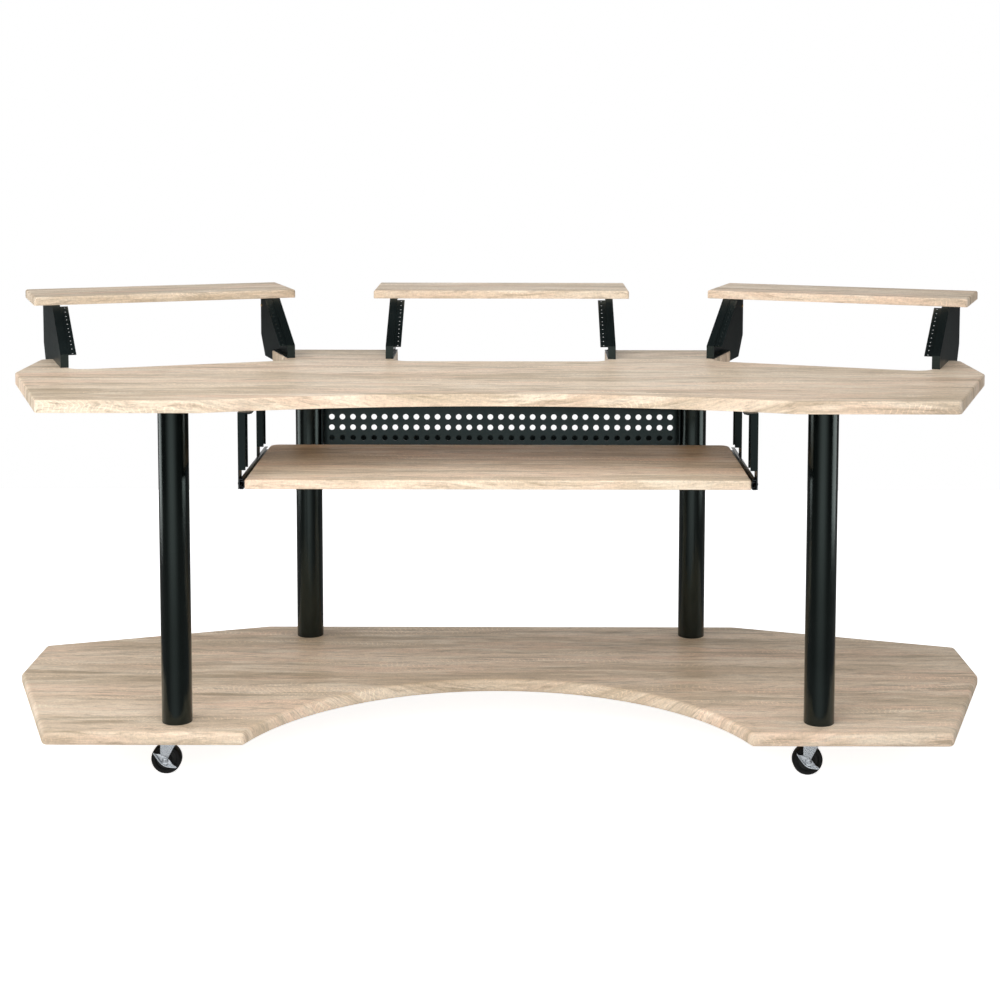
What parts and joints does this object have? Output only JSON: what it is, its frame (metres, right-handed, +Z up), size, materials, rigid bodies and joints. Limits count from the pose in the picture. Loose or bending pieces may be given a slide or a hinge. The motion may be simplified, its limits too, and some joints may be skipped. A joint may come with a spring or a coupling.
{
  "type": "studio desk",
  "caption": "Studio desk on casters with wing-shaped boards, round legs, slanted rack bays under raised shelves, a sliding keyboard tray and a perforated cable tray.",
  "frame": {"origin": "on the floor, under the middle of the desk's bounding box", "axes": "+X to the right along the desk's length, +Y to the back, +Z up"},
  "size_m": [2.2254, 0.9946, 0.8999],
  "materials": {
    "oak_foil": "satin pale oak foil on pressed board",
    "black_steel": "fine-textured black powder coat",
    "zinc": "bright zinc plate",
    "wheel_rubber": "matt black moulded tread"
  },
  "bodies": {
    "frame": {"base_board": "oak_foil", "desktop": "oak_foil", "leg_front_left": "black_steel", "leg_plate_front_left": "black_steel", "leg_plug_front_left": "zinc", "leg_front_right": "black_steel", "leg_plate_front_right": "black_steel", "leg_plug_front_right": "zinc", "leg_rear_left": "black_steel", "leg_plate_rear_left": "black_steel", "leg_plug_rear_left": "zinc", "leg_rear_right": "black_steel", "leg_plate_rear_right": "black_steel", "leg_plug_rear_right": "zinc", "bracket_left_left": "black_steel", "rack_rail_left_left": "black_steel", "bracket_left_right": "black_steel", "rack_rail_left_right": "black_steel", "shelf_left": "oak_foil", "bracket_centre_left": "black_steel", "rack_rail_centre_left": "black_steel", "bracket_centre_right": "black_steel", "rack_rail_centre_right": "black_steel", "shelf_centre": "oak_foil", "bracket_right_left": "black_steel", "rack_rail_right_left": "black_steel", "bracket_right_right": "black_steel", "rack_rail_right_right": "black_steel", "shelf_right": "oak_foil", "slide_outer_left": "black_steel", "hanger_front_left": "black_steel", "hanger_rear_left": "black_steel", "slide_outer_right": "black_steel", "hanger_front_right": "black_steel", "hanger_rear_right": "black_steel", "cable_tray": "black_steel", "caster_stem_front_left": "zinc", "caster_stem_front_right": "zinc", "caster_stem_rear_left": "zinc", "caster_stem_rear_right": "zinc"},
    "tray": {"keyboard_tray": "oak_foil", "slide_inner_left": "black_steel", "slide_inner_right": "black_steel"},
    "ball_cages": {"slide_cage_left": "zinc", "slide_cage_right": "zinc"},
    "fork_front_left": {"caster_fork_front_left": "zinc", "caster_axle_front_left": "zinc"},
    "wheel_front_left": {"caster_wheel_front_left": "wheel_rubber"},
    "brake_front_left": {"brake_lever_front_left": "zinc"},
    "fork_front_right": {"caster_fork_front_right": "zinc", "caster_axle_front_right": "zinc"},
    "wheel_front_right": {"caster_wheel_front_right": "wheel_rubber"},
    "brake_front_right": {"brake_lever_front_right": "zinc"},
    "fork_rear_left": {"caster_fork_rear_left": "zinc", "caster_axle_rear_left": "zinc"},
    "wheel_rear_left": {"caster_wheel_rear_left": "wheel_rubber"},
    "fork_rear_right": {"caster_fork_rear_right": "zinc", "caster_axle_rear_right": "zinc"},
    "wheel_rear_right": {"caster_wheel_rear_right": "wheel_rubber"}
  },
  "joints": [
    {"name": "tray_slide", "type": "slide", "parent": "frame", "child": "tray", "axis": [0, -1, 0], "range_m": [0, 0.25]},
    {"name": "cage_slide", "type": "slide", "parent": "frame", "child": "ball_cages", "axis": [0, -1, 0], "range_m": [0, 0.125]},
    {"name": "swivel_front_left", "type": "hinge", "parent": "frame", "child": "fork_front_left", "pos_m": [-0.6375, -0.42773, 0], "axis": [0, 0, 1], "continuous": true},
    {"name": "roll_front_left", "type": "hinge", "parent": "fork_front_left", "child": "wheel_front_left", "pos_m": [-0.6595, -0.42773, 0.03], "axis": [0, 1, 0], "continuous": true},
    {"name": "brake_front_left", "type": "hinge", "parent": "fork_front_left", "child": "brake_front_left", "pos_m": [-0.6595, -0.42773, 0.03], "axis": [0, 1, 0], "range_deg": [-30, 0]},
    {"name": "swivel_front_right", "type": "hinge", "parent": "frame", "child": "fork_front_right", "pos_m": [0.6375, -0.42773, 0], "axis": [0, 0, 1], "continuous": true},
    {"name": "roll_front_right", "type": "hinge", "parent": "fork_front_right", "child": "wheel_front_right", "pos_m": [0.6155, -0.42773, 0.03], "axis": [0, 1, 0], "continuous": true},
    {"name": "brake_front_right", "type": "hinge", "parent": "fork_front_right", "child": "brake_front_right", "pos_m": [0.6155, -0.42773, 0.03], "axis": [0, 1, 0], "range_deg": [-30, 0]},
    {"name": "swivel_rear_left", "type": "hinge", "parent": "frame", "child": "fork_rear_left", "pos_m": [-0.4415, 0.19507, 0], "axis": [0, 0, 1], "continuous": true},
    {"name": "roll_rear_left", "type": "hinge", "parent": "fork_rear_left", "child": "wheel_rear_left", "pos_m": [-0.4635, 0.19507, 0.03], "axis": [0, 1, 0], "continuous": true},
    {"name": "swivel_rear_right", "type": "hinge", "parent": "frame", "child": "fork_rear_right", "pos_m": [0.4415, 0.19507, 0], "axis": [0, 0, 1], "continuous": true},
    {"name": "roll_rear_right", "type": "hinge", "parent": "fork_rear_right", "child": "wheel_rear_right", "pos_m": [0.4195, 0.19507, 0.03], "axis": [0, 1, 0], "continuous": true}
  ],
  "couplings": [
    {"joint": "cage_slide", "follows": "tray_slide", "ratio": 0.5}
  ]
}
